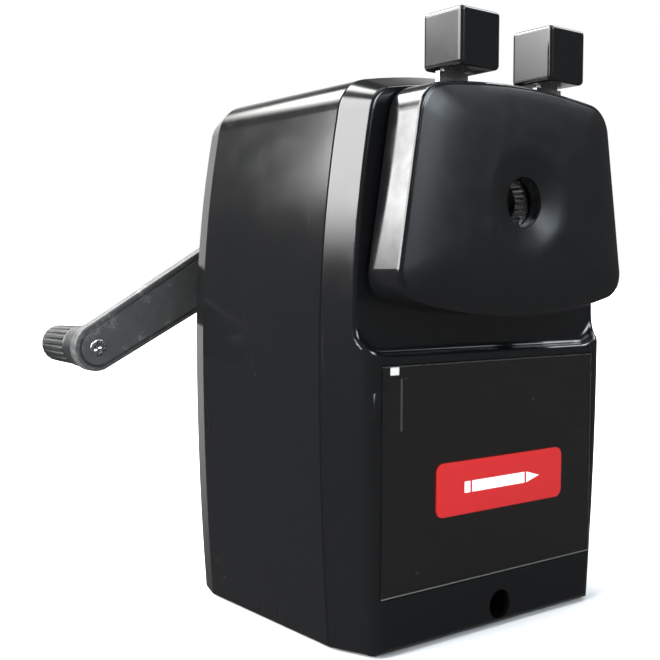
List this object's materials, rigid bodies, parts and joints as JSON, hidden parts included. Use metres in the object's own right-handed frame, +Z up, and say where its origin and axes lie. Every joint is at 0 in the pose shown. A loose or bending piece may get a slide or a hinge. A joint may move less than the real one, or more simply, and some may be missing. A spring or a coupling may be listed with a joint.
{
  "type": "desk pencil sharpener",
  "caption": "Hand-cranked desk pencil sharpener with a rounded housing, sprung pencil holder with two squeeze grips, helical cutter, rear crank and clear shavings drawer.",
  "frame": {"origin": "under the middle of the base, on the surface that the sharpener stands on", "axes": "+X across the body to the right as seen from the front, -Y the front where the pencil goes in, +Z up"},
  "size_m": [0.0866, 0.0868, 0.1086],
  "materials": {
    "gloss_black": "gloss",
    "face_black": "gloss rim, fine matte grain on the front",
    "smoked_clear": "clear smoked, gloss",
    "label_red": "satin printed film",
    "inner_plastic": "matte",
    "nylon": "satin",
    "pad_rubber": "matte",
    "arm_enamel": "satin, worn",
    "bright_steel": "satin",
    "screw_zinc": "bright zinc",
    "cutter_steel": "ground",
    "knob_plastic": "satin, ribbed"
  },
  "bodies": {
    "housing": {"rear_shell": "gloss_black", "front_bezel": "gloss_black", "base_plate": "inner_plastic", "base_pad": "pad_rubber", "base_screws": "screw_zinc", "chassis": "inner_plastic", "chassis_screws": "screw_zinc", "cover_screws": "screw_zinc", "pencil_guide": "nylon", "ring_gear": "nylon", "rear_bush": "nylon", "guide_bushes": "nylon", "left_return_spring": "bright_steel", "right_return_spring": "bright_steel"},
    "drawer": {"drawer_tray": "smoked_clear", "drawer_label": "label_red", "drawer_catch": "smoked_clear"},
    "holder": {"face_plate": "face_black", "holder_back": "inner_plastic", "holder_screws": "screw_zinc", "lever_pins": "bright_steel", "left_guide_rod": "bright_steel", "right_guide_rod": "bright_steel", "rod_clips": "bright_steel", "lever_spring": "bright_steel"},
    "left_gripper": {"left_lever": "bright_steel", "left_grip": "gloss_black", "left_jaw": "bright_steel"},
    "right_gripper": {"right_lever": "bright_steel", "right_grip": "gloss_black", "right_jaw": "bright_steel"},
    "crank": {"cutter_carrier": "inner_plastic", "crank_shaft": "bright_steel", "crank_arm": "arm_enamel", "hub_screw": "screw_zinc", "knob_pin": "screw_zinc"},
    "knob_turner": {"knob": "knob_plastic"},
    "cutter": {"helical_cutter": "cutter_steel", "cutter_pinion": "cutter_steel"}
  },
  "joints": [
    {"name": "drawer_slide", "type": "slide", "parent": "housing", "child": "drawer", "axis": [0, -1, 0], "range_m": [0, 0.042]},
    {"name": "holder_pull", "type": "slide", "parent": "housing", "child": "holder", "axis": [0, -1, 0], "range_m": [0, 0.026], "stiffness_N_per_m": 250, "springref_m": -0.02, "deforming": ["left_return_spring", "right_return_spring"]},
    {"name": "right_squeeze", "type": "hinge", "parent": "holder", "child": "right_gripper", "pos_m": [0.0122, -0.0266, 0.0885], "axis": [0, -1, 0], "range_deg": [0, 10.5], "stiffness_Nm_per_rad": 0.15, "springref_deg": -8.59, "deforming": ["lever_spring"]},
    {"name": "left_squeeze", "type": "hinge", "parent": "holder", "child": "left_gripper", "pos_m": [-0.0122, -0.0266, 0.0885], "axis": [0, 1, 0], "range_deg": [0, 10.5], "stiffness_Nm_per_rad": 0.15, "springref_deg": -8.59},
    {"name": "crank_turn", "type": "hinge", "parent": "housing", "child": "crank", "pos_m": [0, 0.024, 0.077], "axis": [0, 1, 0], "continuous": true},
    {"name": "knob_spin", "type": "hinge", "parent": "crank", "child": "knob_turner", "pos_m": [-0.04891, 0.045, 0.04972], "axis": [0, 1, 0], "continuous": true},
    {"name": "cutter_spin", "type": "hinge", "parent": "crank", "child": "cutter", "pos_m": [0, -0.0115, 0.0858], "axis": [0, 0.9816, -0.1908], "continuous": true}
  ],
  "couplings": [
    {"joint": "left_squeeze", "follows": "right_squeeze", "ratio": 1},
    {"joint": "cutter_spin", "follows": "crank_turn", "ratio": -3.2}
  ]
}
